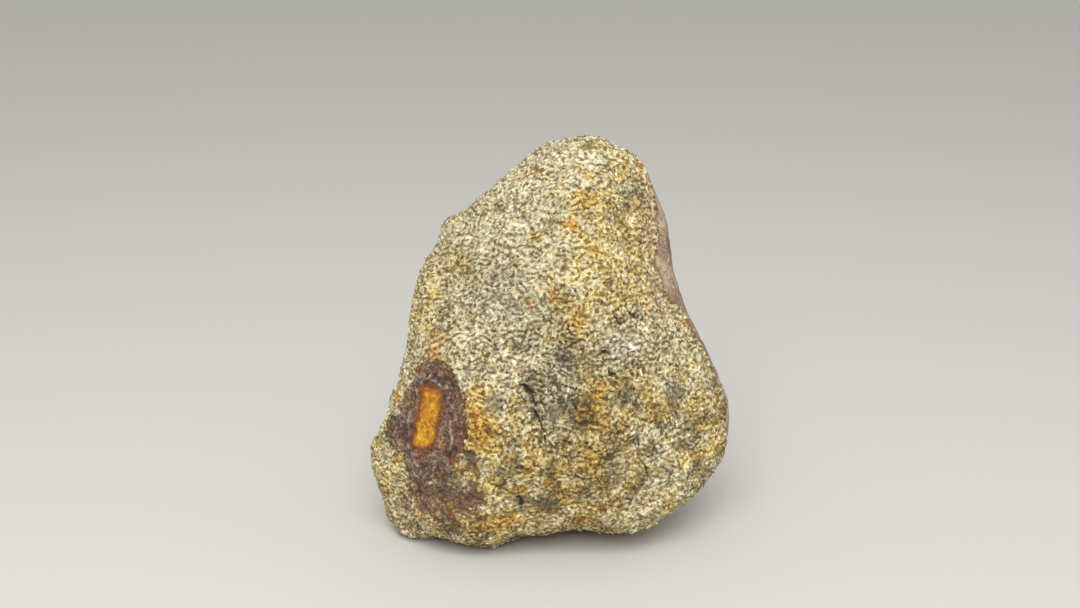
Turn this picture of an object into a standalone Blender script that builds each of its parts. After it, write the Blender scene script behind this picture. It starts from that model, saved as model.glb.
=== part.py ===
"""A eucrite meteorite: one wedge-shaped stone that stands on a small flat spot.

The stone is worked out in millimetres at its real size and built in metres with +Z up.
Its broad broken face looks towards -Y and leans back. Places on the stone are given in
face axes: right, up the face, and out of the face, from the middle of the face.
"""

import math

import bmesh
import bpy
from mathutils import Matrix, Vector, noise

# Overall form, in millimetres
MM = 0.001
FACE_LEAN = math.radians(17.5)
FACE_MIDDLE = 17.0
FRONT_BULGE = 9.4
BACK_BULGE = 16.0
FRONT_FULLNESS = 2.7
BACK_FULLNESS = 2.9
SPHERE_CUTS = 19
EVENING_ROUNDS = 24
FACET_SHARPNESS = 9.0

# The outline of the broad face, each point right of its middle and up from its foot
OUTLINE = [
    (3.2, 47.0), (6.2, 46.1), (8.6, 44.9), (10.1, 42.9), (10.7, 40.1),
    (11.8, 36.7), (12.1, 32.6), (13.0, 28.9), (14.5, 24.4), (16.4, 20.8),
    (18.9, 17.0), (19.3, 13.7), (18.1, 9.8), (15.3, 5.8), (11.4, 3.4),
    (7.5, 1.5), (2.0, 1.7), (-2.3, 1.1), (-6.6, 0.3), (-9.3, -0.1),
    (-13.5, 0.5), (-18.2, 0.2), (-22.0, 2.5), (-25.1, 6.2), (-23.0, 11.4),
    (-20.2, 15.4), (-18.6, 19.4), (-17.3, 24.1), (-17.5, 30.3), (-15.2, 34.0),
    (-14.3, 37.5), (-11.9, 37.0), (-10.7, 37.8), (-6.5, 41.3), (-1.4, 47.0),
    (0.5, 47.3),
]
POINTS_PER_SPAN = 8

# Flat breaks, each a normal in face axes and a distance from the middle of the stone
BREAKS = {
    "upper left": ((-0.46, 0.36, 0.81), 13.4),
    "upper right": ((0.60, 0.20, 0.77), 12.6),
    "lower right": ((0.56, -0.34, 0.75), 14.4),
    "lower front": ((0.04, -0.38, 0.92), 12.0),
    "left lobe": ((-0.62, -0.22, 0.75), 15.6),
    "back top": ((0.16, 0.60, -0.78), 19.0),
    "back left": ((-0.72, 0.10, -0.69), 17.4),
    "back right": ((0.80, 0.06, -0.60), 17.6),
    "back foot": ((0.05, -0.46, -0.88), 19.0),
}

# Marks on the front: right, up the face, half width, half height, lean in degrees, rise
MARKS = {
    "dark pit": (-4.1, 17.4, 1.1, 0.9, 0.0, -0.55),
    "cross pocket": (2.5, 14.7, 1.9, 0.9, -4.0, -0.50),
    "chip scar": (5.7, 8.3, 4.2, 3.3, -14.0, -0.75),
    "scar ledge": (6.3, 4.2, 4.2, 1.1, -14.0, 0.45),
    "middle swell": (-2.2, 10.4, 4.4, 3.0, 10.0, 0.40),
    "ochre ridge": (3.0, 27.0, 2.0, 8.5, 2.0, 0.40),
    "right dimple": (6.6, 23.6, 2.6, 1.8, 30.0, -0.32),
    "right swell": (12.6, 13.0, 3.2, 4.2, -15.0, 0.45),
    "crown dimple": (7.2, 37.4, 1.6, 1.3, 0.0, -0.35),
    "left groove": (-11.6, 25.0, 1.6, 4.4, 12.0, -0.22),
    "corner knob": (-12.2, 36.6, 1.2, 1.0, 0.0, 0.30),
    "lobe knob": (-20.2, 7.6, 2.2, 3.4, 0.0, 0.35),
}

# The rust-zoned eye: a long hexagon a little below the face, with a low rim
EYE_PLACE = (-14.4, 14.2)
EYE_HALF_SIZE = (4.3, 6.6)
EYE_LEAN = math.radians(-4.0)
EYE_DEPTH = 0.65
EYE_RIM = 0.25
EYE_CALM = 0.35

# The brown crust wraps the back: how far out of the face it reaches, by degrees round
# the face from the right
CRUST_EDGE = [
    (-180, -6.0), (-150, -5.0), (-120, -6.5), (-90, -7.0), (-60, -4.0), (-35, -1.6),
    (-10, 0.3), (8, 0.7), (20, 1.4), (33, 2.7), (46, 4.1), (56, 3.4), (63, 1.2),
    (90, -4.0), (120, -6.5), (150, -5.0), (180, -6.0),
]
CRUST_WAVE = 0.8
CRUST_THICKNESS = 0.40

# Places on the back where the crust has broken away: right, up, out and reach
CRUST_CHIPS = [
    (-9.0, 36.0, -7.0, 5.0),
    (13.0, 6.5, -9.0, 5.5),
    (-15.5, 10.0, -9.5, 4.0),
    (4.0, 27.5, -16.0, 2.6),
]

# Thumbprints in the crust: right, up, out, half width and depth
THUMBPRINTS = [
    (16.0, 27.0, -5.0, 6.0, 0.85),
    (9.0, 36.0, -9.0, 4.6, 1.10),
    (-3.0, 31.0, -14.0, 5.6, 1.35),
    (7.0, 21.0, -15.0, 5.2, 1.25),
    (-8.0, 19.0, -15.0, 5.4, 1.35),
    (16.0, 15.0, -8.0, 4.8, 1.00),
    (1.0, 11.5, -15.0, 4.6, 1.05),
    (-15.0, 26.0, -8.0, 4.8, 0.90),
]

# The rough of the rock: a wave length and a height on the broken faces and on the crust
ROUGHNESS = [
    (8.5, 1.00, 0.60),
    (3.8, 0.55, 0.16),
    (2.2, 0.34, 0.06),
]
FOOT_FADE = 2.0


def smooth_step(low, high, value):
    """A smooth climb from 0 at low to 1 at high, which may be the smaller number."""
    share = min(max((value - low) / (high - low), 0.0), 1.0)
    return share * share * (3 - 2 * share)


def catmull_rom(before, start, end, after, share):
    """A point between start and end on the smooth curve through four points."""
    return 0.5 * (
        2 * start
        + (end - before) * share
        + (2 * before - 5 * start + 4 * end - after) * share**2
        + (3 * start - before - 3 * end + after) * share**3
    )


def outline_by_angle():
    """The outline of the face as sorted pairs of angle and radius about its middle."""
    corners = [Vector((right, up - FACE_MIDDLE)) for right, up in OUTLINE]
    count = len(corners)
    pairs = []
    for i in range(count):
        span = [corners[(i + k) % count] for k in (-1, 0, 1, 2)]
        for step in range(POINTS_PER_SPAN):
            point = catmull_rom(*span, step / POINTS_PER_SPAN)
            pairs.append((math.atan2(point.y, point.x), point.length))
    pairs.sort()
    first, last = pairs[0], pairs[-1]
    return [(last[0] - math.tau, last[1])] + pairs + [(first[0] + math.tau, first[1])]


def between(pairs, place):
    """The value at a place, on straight lines between sorted pairs."""
    low, high = 0, len(pairs) - 1
    while high - low > 1:
        middle = (low + high) // 2
        if pairs[middle][0] <= place:
            low = middle
        else:
            high = middle
    share = (place - pairs[low][0]) / (pairs[high][0] - pairs[low][0])
    return pairs[low][1] + (pairs[high][1] - pairs[low][1]) * share


def rounded_body(heading, outline):
    """The point of the rounded stone that lies on a unit heading from its middle."""
    right, up, out = heading
    radius = between(outline, math.atan2(up, right))
    bulge = FRONT_BULGE if out > 0 else BACK_BULGE
    fullness = FRONT_FULLNESS if out > 0 else BACK_FULLNESS
    flat_part = (math.hypot(right, up) / radius) ** fullness
    out_part = (abs(out) / bulge) ** fullness
    return heading * (flat_part + out_part) ** (-1 / fullness)


def broken_body(point):
    """Draws a point in to the flat breaks that cut it, with soft edges between them."""
    heading = point.normalized()
    crowd = 1.0
    for normal, reach in BREAKS.values():
        facing = heading.dot(Vector(normal).normalized())
        if facing > 0:
            crowd += (point.length * facing / reach) ** FACET_SHARPNESS
    return point * crowd ** (-1 / FACET_SHARPNESS)


def turned(right, up, angle):
    """A place on the face, turned back by an angle about its own middle."""
    return (
        right * math.cos(angle) + up * math.sin(angle),
        up * math.cos(angle) - right * math.sin(angle),
    )


def front_marks(point):
    """The rise of the single marks on the front face."""
    rise = 0.0
    for right, up, half_width, half_height, lean, height in MARKS.values():
        across, along = turned(
            point.x - right, point.y + FACE_MIDDLE - up, math.radians(-lean)
        )
        spread = math.hypot(across / half_width, along / half_height)
        rise += height * (1 - smooth_step(0.0, 1.6, spread))
    return rise * smooth_step(-2.0, 2.0, point.z)


def eye_spread(point):
    """How far out a point is in the eye, 0 at its middle and 1 at its edge."""
    across, along = turned(
        point.x - EYE_PLACE[0], point.y + FACE_MIDDLE - EYE_PLACE[1], EYE_LEAN
    )
    across, along = abs(across) / EYE_HALF_SIZE[0], abs(along) / EYE_HALF_SIZE[1]
    return max(across, along, 0.72 * (across + along)) + 2 * smooth_step(1.0, -2.0, point.z)


def eye_rise(spread):
    """The rise of the rust-zoned eye, which is below the face inside a low rim."""
    floor = -EYE_DEPTH * (1 - smooth_step(0.55, 0.95, spread))
    rim = EYE_RIM * smooth_step(0.80, 1.02, spread) * (1 - smooth_step(1.02, 1.35, spread))
    return floor + rim


def crust_share(point):
    """How far a point is inside the crust, 0 on the broken faces and 1 on the crust."""
    edge = between(CRUST_EDGE, math.degrees(math.atan2(point.y, point.x)))
    inside = edge - point.z
    for right, up, out, reach in CRUST_CHIPS:
        gap = (point - Vector((right, up - FACE_MIDDLE, out))).length - reach
        inside = min(inside, gap)
    return smooth_step(-0.6, 0.6, inside + CRUST_WAVE * noise.noise(point / 3.0))


def thumbprint_rise(point):
    """The rise of the shallow thumbprints in the crust."""
    rise = 0.0
    for right, up, out, half_width, depth in THUMBPRINTS:
        middle = Vector((right, up - FACE_MIDDLE, out))
        spread = (point - middle).length / half_width
        rise -= depth * (1 - smooth_step(0.0, 1.25, spread))
    return rise


def rough_rise(point, crust):
    """The rise of the general rough of the rock, which is softer on the crust."""
    rise = 0.0
    for i, (wave, on_break, on_crust) in enumerate(ROUGHNESS):
        place = point / wave + Vector((11.3, 4.7, 8.1)) * (i + 1)
        rise += (on_break + (on_crust - on_break) * crust) * noise.noise(place)
    return rise


def face_to_world():
    """The matrix from face axes in millimetres to the stone's own frame in metres."""
    right = Vector((1, 0, 0))
    up = Vector((0, math.sin(FACE_LEAN), math.cos(FACE_LEAN)))
    out = Vector((0, -math.cos(FACE_LEAN), math.sin(FACE_LEAN)))
    turn = Matrix((right, up, out)).transposed().to_4x4()
    return Matrix.Scale(MM, 4) @ turn @ Matrix.Translation((0, FACE_MIDDLE, 0))


def refine_eye(stone):
    """Halves the triangles round the eye, so that its rim and floor come out clean."""
    middle = Vector((EYE_PLACE[0], EYE_PLACE[1] - FACE_MIDDLE))
    near = [
        edge
        for edge in stone.edges
        if all(vert.co.z > -1 and (vert.co.xy - middle).length < 9 for vert in edge.verts)
    ]
    bmesh.ops.subdivide_edges(stone, edges=near, cuts=1, use_grid_fill=True)
    bmesh.ops.triangulate(stone, faces=stone.faces[:])


def sphere():
    """A unit sphere of even triangles."""
    ball = bmesh.new()
    bmesh.ops.create_icosphere(ball, subdivisions=1, radius=1)
    bmesh.ops.subdivide_edges(
        ball, edges=ball.edges[:], cuts=SPHERE_CUTS - 1, use_grid_fill=True
    )
    return ball


def wrap(stone, outline):
    """Slides every vertex along its own heading onto the broken body."""
    for vert in stone.verts:
        vert.co = broken_body(rounded_body(vert.co.normalized(), outline))


def even_out(stone, outline):
    """Evens out the triangles over the body by turns of smoothing and wrapping."""
    wrap(stone, outline)
    for _ in range(EVENING_ROUNDS):
        bmesh.ops.smooth_vert(
            stone, verts=stone.verts, factor=0.9, use_axis_x=True, use_axis_y=True, use_axis_z=True
        )
        wrap(stone, outline)


def add_relief(stone):
    """Moves the surface along its normals by its marks, eye, crust, prints and rough."""
    world = face_to_world()
    stone.normal_update()
    for vert in stone.verts:
        point = vert.co.copy()
        crust = crust_share(point)
        eye = eye_spread(point)
        rise = CRUST_THICKNESS * (crust - 1)
        rise += thumbprint_rise(point) + front_marks(point) + eye_rise(eye)
        rise += rough_rise(point, crust) * (EYE_CALM + (1 - EYE_CALM) * smooth_step(0.8, 1.3, eye))
        height = (world @ point).z / MM
        rise *= smooth_step(-FOOT_FADE, FOOT_FADE, height)
        vert.co = point + vert.normal * rise


def cut_foot(stone):
    """Presses the underside flat where it would pass below the resting plane."""
    for vert in stone.verts:
        vert.co.z = max(vert.co.z, 0.0)


def centre(stone):
    """Moves the stone so that the middle of its box is on the Z axis."""
    spans = [[vert.co[axis] for vert in stone.verts] for axis in (0, 1)]
    shift = [-(min(span) + max(span)) / 2 for span in spans]
    bmesh.ops.translate(stone, verts=stone.verts, vec=(*shift, 0))


def stone_material():
    """Cream and grey broken rock, dull and rough."""
    material = bpy.data.materials.new("broken_rock")
    material.use_nodes = True
    surface = material.node_tree.nodes["Principled BSDF"]
    surface.inputs["Base Color"].default_value = (0.42, 0.35, 0.21, 1)
    surface.inputs["Roughness"].default_value = 0.85
    surface.inputs["Metallic"].default_value = 0.0
    return material


def build_stone():
    """The whole stone as one closed body."""
    stone = sphere()
    even_out(stone, outline_by_angle())
    refine_eye(stone)
    add_relief(stone)
    stone.transform(face_to_world())
    cut_foot(stone)
    centre(stone)
    mesh = bpy.data.meshes.new("stone")
    stone.to_mesh(mesh)
    stone.free()
    mesh.materials.append(stone_material())
    body = bpy.data.objects.new("stone", mesh)
    bpy.context.scene.collection.objects.link(body)


def main():
    """Builds the stone in an empty scene."""
    for old in list(bpy.data.objects):
        bpy.data.objects.remove(old, do_unlink=True)
    build_stone()


if __name__ == "__main__":
    main()
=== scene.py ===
"""The looks of a eucrite meteorite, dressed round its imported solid.

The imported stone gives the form. Its skin is made finer here, gets the small relief of
the broken rock, the weathered crust and the rust-zoned eye, and is then set with the
mineral grains that stand proud of the broken faces. Lengths are in millimetres until a
mesh is written. The marks are placed in face axes, and there "face" means rows of them:
right, up the broad face and out of it. Elsewhere "places" means rows of the stone's frame.
"""

from __future__ import annotations

import logging
import math
from collections.abc import Sequence
from dataclasses import dataclass, field
from enum import Enum
from itertools import pairwise, product

import bmesh
import bpy
import numpy as np
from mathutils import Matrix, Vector, noise


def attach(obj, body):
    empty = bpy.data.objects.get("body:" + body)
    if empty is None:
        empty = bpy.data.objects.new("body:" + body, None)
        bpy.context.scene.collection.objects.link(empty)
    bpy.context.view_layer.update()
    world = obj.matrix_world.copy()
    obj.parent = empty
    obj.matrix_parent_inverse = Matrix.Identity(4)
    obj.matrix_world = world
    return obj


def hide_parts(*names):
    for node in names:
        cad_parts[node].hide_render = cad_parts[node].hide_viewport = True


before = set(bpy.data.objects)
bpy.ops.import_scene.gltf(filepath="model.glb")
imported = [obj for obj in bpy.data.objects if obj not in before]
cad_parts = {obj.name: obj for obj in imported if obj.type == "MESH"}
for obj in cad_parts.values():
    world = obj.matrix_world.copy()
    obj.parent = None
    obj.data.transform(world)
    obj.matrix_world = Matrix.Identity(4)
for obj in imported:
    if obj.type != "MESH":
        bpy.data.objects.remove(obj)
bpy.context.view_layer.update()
MM = 0.001
ELSEWHERE = (1.0, 1.0, 1.0)
LOG = logging.getLogger("meteorite")

Colour = tuple[float, float, float]
Ramp = tuple[tuple[float, int, int, int], ...]
Line = Sequence[tuple[float, float]]
Fields = dict[str, np.ndarray]


class Stain(Enum):
    """The stains and changes of texture that the rock shows, by attribute name. The dark one is
    partly the rock's grey patches and partly painted shade in its pits, cracks and pockets.
    """

    OCHRE = "ochre"
    EARTH = "earth"
    BROWN = "brown"
    RUST = "rust"
    RED = "red"
    PURPLE = "purple"
    COOL = "cool"
    DARK = "dark"
    PALE = "pale"
    CONTRAST = "contrast"
    FINE = "fine"


class Mineral(Enum):
    """The kinds of grain that stand proud of the rock, by piece name."""

    LATHS = "feldspar_laths"
    FELDSPAR = "feldspar_grains"
    PYROXENE = "pyroxene_grains"


class Zone(Enum):
    """The parts of the surface that differ in what coats them, by material name."""

    ROCK = "broken_rock_skin"
    EYE = "eye_and_rock_skin"
    RIM = "crust_and_rock_skin"
    CRUST = "crust_skin"


def paint(*values: int) -> Colour:
    """A linear colour from the 0 to 255 values of a paint chart."""
    shares = (value / 255 for value in values)
    return tuple(v / 12.92 if v <= 0.04045 else ((v + 0.055) / 1.055) ** 2.4 for v in shares)


def smooth_step(low: float, high: float, value: np.ndarray) -> np.ndarray:
    """A smooth climb from 0 at low to 1 at high."""
    share = np.clip((value - low) / (high - low), 0.0, 1.0)
    return share * share * (3 - 2 * share)


def soft_noise(places: np.ndarray, wave: float, seed: float = 0.0) -> np.ndarray:
    """Soft noise of a wave length and a seed over places, from about -1 to 1."""
    return np.array([noise.noise(Vector(row)) for row in (places / wave + seed).tolist()])


def grain_middle(places: np.ndarray, width: float, seed: float) -> np.ndarray:
    """How far places are from the middle of the grain they lie in, in grain widths."""
    rows = (places / width + seed).tolist()
    return np.array([noise.voronoi(Vector(row))[0][0] for row in rows])


@dataclass(frozen=True)
class FaceAxes:
    """The turn and shift between face axes and the stone's own frame."""

    lean: float = math.radians(17.5)
    shift: tuple[float, float] = (1.369, -8.383)

    def from_world(self, places: np.ndarray) -> np.ndarray:
        """Turns places into face axes.

        Args:
            places: Rows of the stone's frame.

        Returns:
            Rows of face axes.
        """
        along, across = math.sin(self.lean), math.cos(self.lean)
        right = places[:, 0] - self.shift[0]
        back = places[:, 1] - self.shift[1]
        up = back * along + places[:, 2] * across
        out = places[:, 2] * along - back * across
        return np.column_stack((right, up, out))

    def direction(self, right: float, up: float) -> np.ndarray:
        """A heading in the plane of the face, in the stone's frame."""
        return np.array((right, up * math.sin(self.lean), up * math.cos(self.lean)))


@dataclass(frozen=True)
class Patch:
    """One stained or paler place on the broad face, as a soft leaning ellipse."""

    right: float
    up: float
    half_width: float
    half_height: float
    strength: float
    lean: float = 0.0

    def share(self, face: np.ndarray) -> np.ndarray:
        """How strongly the patch shows.

        Args:
            face: Rows of face axes.

        Returns:
            One share a row.
        """
        turn = math.radians(self.lean)
        right, up = face[:, 0] - self.right, face[:, 1] - self.up
        across = right * math.cos(turn) + up * math.sin(turn)
        along = up * math.cos(turn) - right * math.sin(turn)
        spread = np.hypot(across / self.half_width, along / self.half_height)
        return self.strength * (1 - smooth_step(0.15, 1.75, spread))


# Each patch's right, up, half width, half height, strength and, where it leans, degrees.
PATCHES = {
    Stain.OCHRE: (
        (5.5, 27, 6.5, 19, 0.36, -6), (13, 14, 6, 9, 0.26), (-2, 8, 14, 8, 0.34),
        (1.4, 24.9, 1.3, 2.1, 0.9, 10), (2.5, 37.6, 1.9, 1, 0.8), (5, 33.3, 3.6, 4.9, 0.35, -10),
        (2.8, 16.9, 2, 4.1, 0.85, 5), (4, 17.9, 0.6, 1.3, 1), (1.8, 11.5, 2.8, 2.4, 0.65, 20),
        (-1.7, 10.2, 1.3, 1.3, 0.5), (-6.8, 3.6, 2.6, 1.5, 0.75), (14.9, 13, 2.4, 4.3, 0.3),
        (10.1, 20.7, 3, 4.3, 0.22), (-19.9, 8.5, 1.3, 4.9, 0.35), (-0.3, 27, 1.5, 1.1, 0.5),
        (3.4, 31.4, 0.9, 0.9, 0.6), (7.7, 31.7, 1.1, 0.9, 0.5), (7, 34.9, 1.4, 1.2, 0.6),
        (-6.2, 12.5, 2.4, 2.4, 0.35), (-14.4, 25.9, 2.1, 6.4, 0.28), (-11.9, 30.7, 1.6, 1.9, 0.35),
        (1.3, 22.3, 1.1, 2.8, 0.45), (-0.5, 14.1, 0.9, 2.1, 0.3), (13.5, 8.8, 1.5, 2.1, 0.3),
        (-3.2, 33.3, 0.6, 0.6, 0.9), (9, 11.8, 1.1, 1.1, 0.5), (-2.6, 40.8, 1.7, 0.7, 0.4),
        (1, 34.7, 1.7, 1.2, 0.6), (-8.6, 14.6, 1.7, 3.2, 0.8), (-2, 16.9, 0.5, 0.5, 0.6),
    ),
    Stain.EARTH: (
        (1, 5, 10, 4.2, 0.23), (5.6, 8.3, 3.4, 2.6, 0.28), (-11.2, 3.2, 4.5, 2, 0.38),
        (-8.6, 10, 3, 3.4, 0.2), (3, 14.6, 3.6, 1.8, 0.2), (5.2, 21, 2.6, 3.6, 0.14),
        (13, 13, 3.4, 5, 0.13), (7.2, 37.2, 2, 1.6, 0.2), (-1, 34.6, 3, 1.8, 0.11),
        (-16.6, 4.6, 3, 3, 0.16), (-16, 24, 1.6, 6, 0.14),
    ),
    Stain.BROWN: (
        (-13, 4.6, 5.5, 2.6, 0.5), (10.4, 33, 2.4, 8, 0.6, 8),
    ),
    Stain.RUST: (
        (14.1, 23.9, 0.6, 1.9, 0.5, 33), (0.7, 34.8, 0.8, 0.6, 1), (-3.6, 26.8, 0.5, 0.5, 0.55),
        (-1.5, 28, 0.6, 0.6, 0.55), (-13.9, 21.8, 0.9, 1.8, 0.42), (-9.4, 14.8, 0.8, 2.4, 0.38),
        (-9, 13.5, 0.4, 0.4, 0.8), (-4.3, 12, 0.4, 0.4, 0.55), (-6.5, 3.8, 1.7, 1.1, 0.22),
        (8.2, 41.9, 0.4, 0.5, 0.9), (-17.7, 16.3, 0.6, 1.5, 0.55, 20), (-17.8, 10.7, 0.4, 0.7, 0.5),
        (0.8, 3.6, 0.3, 0.3, 1), (-4.5, 40.3, 0.5, 0.6, 0.45), (-2.8, 41.4, 0.5, 0.4, 0.35),
        (7, 6.1, 2.8, 1, 0.14, 5), (4.1, 18.2, 0.4, 0.9, 0.3), (-4.8, 15.3, 0.4, 0.4, 0.35),
        (-4.9, 7.8, 0.5, 0.4, 0.5), (0.1, 6, 1.7, 1.1, 0.14), (12.3, 10, 0.9, 0.9, 0.14),
    ),
    Stain.RED: (
        (-10.4, 5.7, 1.7, 1.2, 1), (-14, 6, 2.1, 1.7, 0.85), (-12.2, 5, 2.4, 1.3, 0.65),
        (5, 5.3, 1.5, 0.5, 0.35),
    ),
    Stain.PURPLE: (
        (-14.1, 7.9, 1.5, 0.5, 0.9), (-11.5, 8.3, 1.8, 1.1, 0.9, 15), (-9.5, 10.1, 1, 1, 0.6),
        (-12.3, 7.2, 2.9, 1.3, 0.75),
    ),
    Stain.COOL: (
        (-3.7, 18.1, 0.35, 0.45, 1), (-0.8, 15.6, 1.1, 0.8, 0.6), (6.3, 22.6, 2.4, 2.4, 0.45),
        (-3.9, 35.5, 0.4, 0.4, 1), (-6.9, 16, 1, 0.8, 0.6), (11.4, 17.2, 1.3, 1.3, 0.5, -30),
        (-3, 6, 2.4, 0.9, 0.5), (-6, 27, 4, 3, 0.22), (1, 20, 3, 2.4, 0.25),
    ),
    # Dark patches: partly the rock's grey patches, partly painted shade in its pits, cracks and
    # pockets.
    Stain.DARK: (
        (-12.9, 19.4, 1.3, 0.9, 0.8), (-14.2, 5.8, 2, 1.4, 0.25), (-10.5, 5.6, 1.8, 1.2, 0.28),
        (-5.7, 9, 3, 3, 0.14), (9.4, 34.5, 1.6, 5, 0.12, 8), (-17.7, 13.3, 0.8, 1.3, 0.7),
        (0.5, 17.5, 6.5, 7.5, 0.4), (-8, 31, 7.5, 6, 0.16, 30), (5.6, 8.3, 3, 2.1, 0.32),
        (11.4, 17.2, 1.5, 1.5, 0.55, -30), (8.1, 8.1, 0.6, 1.3, 0.7), (-2.4, 5.7, 1.5, 0.9, 0.6),
        (-4.9, 5.8, 0.5, 0.7, 1), (-0.7, 15.6, 1.1, 0.9, 0.6), (2.4, 14.7, 1.2, 0.5, 1, -4),
        (4.7, 22, 0.4, 0.4, 1), (5.4, 19.7, 0.4, 0.3, 0.9), (5.5, 24.8, 0.6, 0.4, 0.8),
        (7.2, 25.8, 0.6, 0.4, 0.8), (-6.9, 15.9, 1.1, 0.7, 0.6), (7.1, 38.4, 1.1, 0.4, 0.6),
        (7.2, 37.1, 0.6, 0.6, 0.5), (-4.1, 17.4, 0.5, 0.4, 1), (-11.2, 3, 2.4, 1, 0.55),
        (-16.8, 3, 1.3, 0.9, 0.3), (-1.5, 17.2, 0.6, 0.5, 0.5), (6.6, 22.3, 0.9, 0.6, 0.35),
        (-9.4, 1.3, 0.9, 0.3, 0.9), (-13.8, 1, 0.6, 0.4, 0.9), (13.4, 12.1, 1.1, 1.5, 0.35),
        (9, 11.2, 1.1, 1.1, 0.35), (5.2, 16.6, 0.9, 0.9, 0.4), (-7.8, 22.8, 1.1, 1.3, 0.25),
        (2.1, 8.2, 1.1, 0.9, 0.4),
    ),
    Stain.PALE: (
        (-2, 16.9, 0.4, 0.4, 0.8), (-3.1, 17.9, 0.25, 0.35, 1), (9.8, 9.6, 3.8, 3.6, 0.54),
        (10.9, 31, 1.2, 2.4, 0.22, 8), (-17.6, 6.2, 2.6, 5, 0.3), (6, 22.3, 0.9, 0.9, 0.7),
        (7.9, 21.8, 1, 0.9, 0.7), (-6.7, 19.5, 2.1, 1.9, 0.35), (-0.5, 18.2, 2.1, 1.5, 0.45),
        (7.1, 8.5, 0.4, 0.3, 1), (-3.8, 35.2, 0.3, 0.3, 1), (8.6, 4.3, 3.2, 0.7, 0.55, -12),
        (0.7, 42.1, 3.2, 1.1, 0.45), (3.7, 23.4, 1.1, 1.7, 0.3), (-5.8, 35.6, 5.3, 3.6, 0.35, 40),
        (-1.7, 13.6, 0.9, 1.1, 0.3), (-3.6, 8.3, 0.9, 0.6, 0.4), (9.5, 18.6, 1.5, 1.7, 0.35),
        (-6.2, 6.1, 0.9, 0.6, 0.5),
    ),
    Stain.CONTRAST: (
        (-1.7, 19.3, 3.6, 4.3, 0.8), (6, 22.3, 3.2, 3.6, 0.9), (-2.6, 13.6, 2.1, 2.6, 0.6),
        (-6.7, 22.3, 3.2, 3.2, 0.4), (10.1, 12.3, 2.6, 2.6, 0.4),
    ),
    Stain.FINE: (
        (-7.4, 32.9, 7.5, 5.3, 1, 35), (-12.1, 23.8, 4.7, 6.4, 0.7),
        (-3.6, 38.8, 5.3, 3.2, 0.7, 30),
    ),
}


@dataclass(frozen=True)
class Blotches:
    """Blotches of a stain: the least everywhere, and more where noise goes from low to high."""

    stain: Stain
    least: float
    more: float
    wave: float
    seed: float
    low: float
    high: float

    def share(self, face: np.ndarray) -> np.ndarray:
        """How strongly the blotches show."""
        spread = smooth_step(self.low, self.high, soft_noise(face, self.wave, self.seed))
        return self.least + self.more * spread


@dataclass(frozen=True)
class Crack:
    """A thin crack across the broad face, along a line of points in right and up."""

    half_width: float
    depth: float
    line: Line

    def share(self, face: np.ndarray) -> np.ndarray:
        """How deep in the crack rows of face axes are, in millimetres."""
        gap = line_gap(face[:, :2], self.line)
        return self.depth * (1 - smooth_step(0.25 * self.half_width, 1.6 * self.half_width, gap))

    def margin(self, face: np.ndarray) -> np.ndarray:
        """How far rows of face axes are from the crack's edge, by how deep the crack is."""
        return (line_gap(face[:, :2], self.line) - self.half_width) / min(1.0, self.depth / 0.25)


CRACKS = (
    Crack(0.20, 0.36, ((-4.6, 17.8), (-4.3, 17.3), (-3.9, 17.2))),
    Crack(
        0.13, 0.40,
        ((-4.2, 17.4), (-3.5, 16.6), (-3.0, 16.1), (-2.8, 14.8), (-2.4, 14.0), (-2.0, 12.4)),
    ),
    Crack(0.11, 0.25, ((-3.0, 16.1), (-2.2, 15.9), (-1.5, 15.5))),
    Crack(0.14, 0.25, ((0.6, 16.8), (1.0, 16.2))),
    Crack(0.09, 0.20, ((-1.6, 12.6), (-0.9, 12.2), (1.0, 12.6), (3.9, 11.4))),
    Crack(0.11, 0.16, ((-1.0, 21.9), (0.1, 22.3), (1.6, 22.9))),
    Crack(0.11, 0.16, ((-6.3, 29.5), (-5.9, 28.7), (-4.7, 29.1))),
    Crack(0.12, 0.17, ((5.5, 15.2), (6.4, 14.0), (7.1, 12.7), (7.4, 10.5), (8.5, 8.8))),
    Crack(0.12, 0.15, ((1.9, 12.8), (3.7, 11.1), (4.7, 10.5))),
    Crack(0.11, 0.13, ((-6.2, 10.9), (-3.6, 9.4), (-0.5, 8.4), (2.7, 8.0))),
    Crack(0.11, 0.12, ((9.5, 19.1), (11.4, 18.0), (12.7, 16.2))),
    Crack(0.22, 0.15, ((1.2, 14.8), (3.6, 14.6))),
    Crack(0.20, 0.24, ((5.0, 24.9), (5.6, 24.7))),
    Crack(0.20, 0.26, ((4.0, 22.2), (4.4, 21.9))),
    Crack(0.22, 0.26, ((5.1, 19.7), (5.3, 19.4))),
    Crack(0.22, 0.22, ((7.0, 25.9), (7.5, 25.8))),
    Crack(0.22, 0.26, ((-5.1, 6.4), (-4.8, 6.0), (-4.9, 5.4))),
    Crack(0.20, 0.20, ((0.4, 24.0), (0.5, 23.8))),
    Crack(0.16, 0.18, ((-7.3, 31.4), (-7.0, 31.2))),
)


def line_gap(spots: np.ndarray, line: Line) -> np.ndarray:
    """The gap from spots to the nearest part of a line of points.

    Args:
        spots: Rows of right and up.
        line: The points.

    Returns:
        One gap a row.
    """
    gap = np.full(len(spots), np.inf)
    for start, end in pairwise(line):
        start, step = np.array(start), np.subtract(end, start)
        share = np.clip((spots - start) @ step / (step @ step), 0.0, 1.0)
        gap = np.minimum(gap, np.linalg.norm(spots - start - share[:, None] * step, axis=1))
    return gap


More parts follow.
